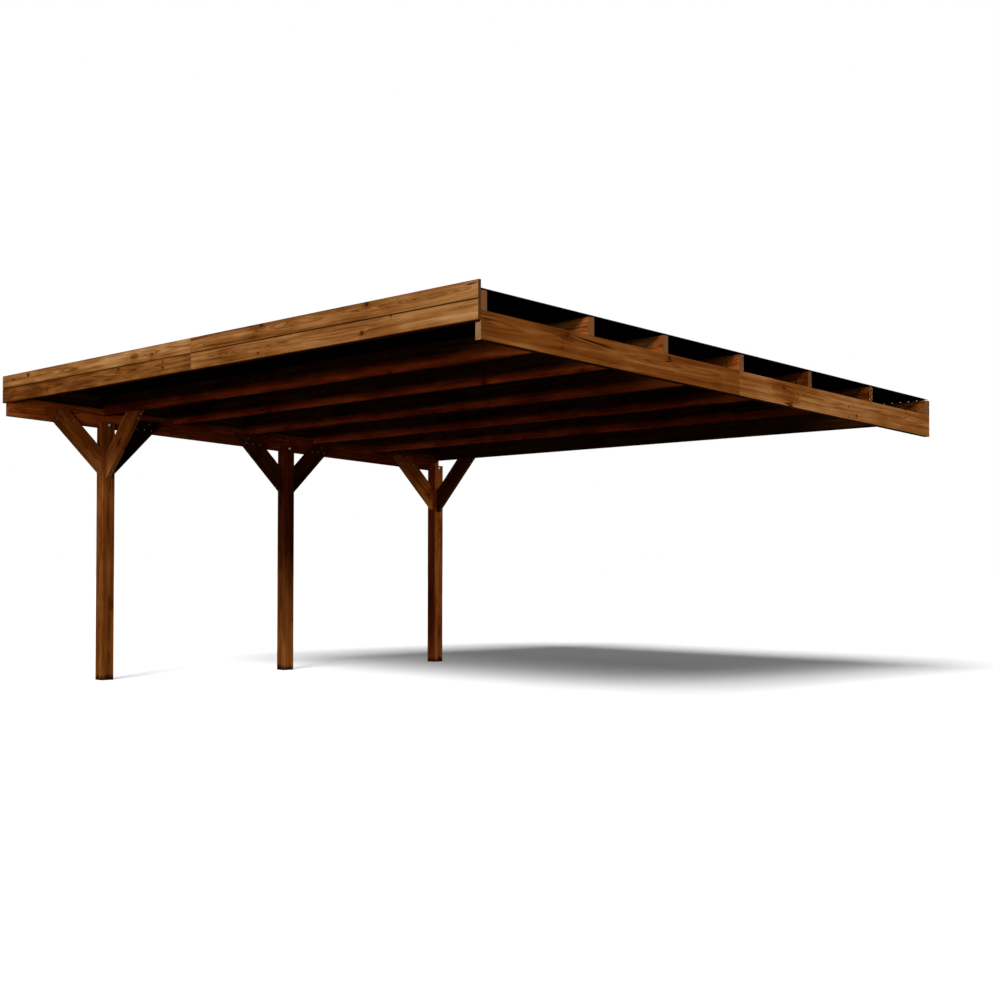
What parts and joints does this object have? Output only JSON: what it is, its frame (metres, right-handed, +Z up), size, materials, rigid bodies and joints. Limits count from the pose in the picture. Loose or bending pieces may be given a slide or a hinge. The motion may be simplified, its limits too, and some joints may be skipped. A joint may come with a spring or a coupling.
{
  "type": "lean-to carport",
  "caption": "Open timber lean-to carport: square posts with braces, sloping beams, rafters, board fascia and corrugated roof sheets.",
  "frame": {"origin": "middle of the wall beam's wall-side face", "axes": "+X along the wall from the high entry end to the low end, +Y away from the wall towards the posts, +Z up"},
  "size_m": [5.1111, 6.164, 2.7272],
  "materials": {
    "post_timber": "satin",
    "rafter_timber": "satin",
    "beam_timber": "satin",
    "fascia_timber": "satin",
    "roof_sheet": "satin",
    "steel_fixing": "satin"
  },
  "bodies": {
    "root": {"brace_far_uphill": "post_timber", "brace_middle_downhill": "post_timber", "brace_middle_uphill": "post_timber", "brace_near_downhill": "post_timber", "brace_near_uphill": "post_timber", "cross_brace_far": "post_timber", "cross_brace_near": "post_timber", "far_fascia_lower_post": "fascia_timber", "far_fascia_lower_wall": "fascia_timber", "far_fascia_upper_post": "fascia_timber", "far_fascia_upper_wall": "fascia_timber", "near_fascia_lower_post": "fascia_timber", "near_fascia_lower_wall": "fascia_timber", "near_fascia_upper_post": "fascia_timber", "near_fascia_upper_wall": "fascia_timber", "post_far": "post_timber", "post_middle": "post_timber", "post_near": "post_timber", "purlin_far": "rafter_timber", "purlin_near": "rafter_timber", "rafter_1": "rafter_timber", "rafter_2": "rafter_timber", "rafter_3": "rafter_timber", "rafter_4": "rafter_timber", "rafter_5": "rafter_timber", "rafter_6": "rafter_timber", "rafter_7": "rafter_timber", "roof_sheet_1": "roof_sheet", "roof_sheet_2": "roof_sheet", "roof_sheet_3": "roof_sheet", "roof_sheet_4": "roof_sheet", "roof_sheet_5": "roof_sheet", "roof_sheet_6": "roof_sheet", "roof_sheet_7": "roof_sheet", "roof_sheet_8": "roof_sheet", "side_fascia_lower_far": "fascia_timber", "side_fascia_lower_near": "fascia_timber", "side_fascia_upper_far": "fascia_timber", "side_fascia_upper_near": "fascia_timber", "wall_beam_far": "beam_timber", "wall_beam_near": "beam_timber"}
  },
  "joints": []
}
